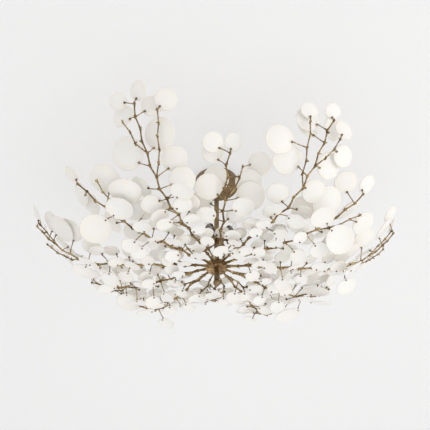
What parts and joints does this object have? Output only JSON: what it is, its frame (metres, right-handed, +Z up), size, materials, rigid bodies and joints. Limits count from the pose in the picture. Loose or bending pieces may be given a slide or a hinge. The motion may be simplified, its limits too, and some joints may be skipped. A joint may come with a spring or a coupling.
{
  "type": "flush mount ceiling light",
  "caption": "Low ceiling light: round canopy, short stem and a wide bowl of antique brass twig branches that carry round domed porcelain petals, with small capsule lamps round the stem.",
  "frame": {"origin": "on the stem's axis in the ceiling plane, the middle of the bracket's two slots", "axes": "+Z up to the ceiling, -Y the side that the picture shows, +X to its right"},
  "size_m": [1.1902, 1.0377, 0.4295],
  "materials": {
    "zinc_steel": "zinc plated",
    "stem_brass": "brushed antique, satin",
    "terminal_plastic": "matt",
    "screw_brass": "plain",
    "cable_sheath": "matt",
    "holder_ceramic": "unglazed steatite",
    "hub_brass": "antique, satin",
    "twig_brass": "antique, hand patinated, satin",
    "porcelain": "satin matt bisque porcelain",
    "nut_brass": "antique, satin",
    "bulb_glass": "clear"
  },
  "bodies": {
    "light": {"ceiling_bracket": "zinc_steel", "bracket_nut": "zinc_steel", "top_nipple": "zinc_steel", "canopy": "stem_brass", "canopy_collar": "stem_brass", "terminal_block": "terminal_plastic", "terminal_screws": "zinc_steel", "earth_screw": "screw_brass", "inner_cable": "cable_sheath", "stem_bushes": "zinc_steel", "upper_stem": "stem_brass", "lamp_drum": "stem_brass", "drum_lid": "stem_brass", "lamp_arms": "stem_brass", "arm_leads": "cable_sheath", "lamp_cups": "stem_brass", "lampholders": "holder_ceramic", "tie_rod": "zinc_steel", "lower_stem": "stem_brass", "branch_hub": "hub_brass", "tail_tube": "stem_brass", "ball_finial": "stem_brass", "sprigs": "twig_brass", "sprig_petals": "porcelain", "petal_studs_1": "nut_brass", "petal_studs_2": "nut_brass", "petal_nuts": "nut_brass", "branch_1": "twig_brass", "branch_2": "twig_brass", "branch_3": "twig_brass", "branch_4": "twig_brass", "branch_5": "twig_brass", "branch_6": "twig_brass", "branch_7": "twig_brass", "branch_8": "twig_brass", "branch_9": "twig_brass", "branch_10": "twig_brass", "branch_11": "twig_brass", "branch_12": "twig_brass", "petals_1": "porcelain", "petals_2": "porcelain", "petals_3": "porcelain", "petals_4": "porcelain", "petals_5": "porcelain", "petals_6": "porcelain", "petals_7": "porcelain", "petals_8": "porcelain", "petals_9": "porcelain", "petals_10": "porcelain", "petals_11": "porcelain", "petals_12": "porcelain"},
    "bulb_1": {"bulb_1": "bulb_glass"},
    "bulb_2": {"bulb_2": "bulb_glass"},
    "bulb_3": {"bulb_3": "bulb_glass"},
    "bulb_4": {"bulb_4": "bulb_glass"},
    "bulb_5": {"bulb_5": "bulb_glass"},
    "bulb_6": {"bulb_6": "bulb_glass"}
  },
  "joints": [
    {"name": "bulb_1_pull", "type": "slide", "parent": "light", "child": "bulb_1", "axis": [-0.342, -0.9397, 0], "range_m": [0, 0.014]},
    {"name": "bulb_2_pull", "type": "slide", "parent": "light", "child": "bulb_2", "axis": [0.6428, -0.766, 0], "range_m": [0, 0.014]},
    {"name": "bulb_3_pull", "type": "slide", "parent": "light", "child": "bulb_3", "axis": [0.9848, 0.1736, 0], "range_m": [0, 0.014]},
    {"name": "bulb_4_pull", "type": "slide", "parent": "light", "child": "bulb_4", "axis": [0.342, 0.9397, 0], "range_m": [0, 0.014]},
    {"name": "bulb_5_pull", "type": "slide", "parent": "light", "child": "bulb_5", "axis": [-0.6428, 0.766, 0], "range_m": [0, 0.014]},
    {"name": "bulb_6_pull", "type": "slide", "parent": "light", "child": "bulb_6", "axis": [-0.9848, -0.1736, 0], "range_m": [0, 0.014]}
  ]
}
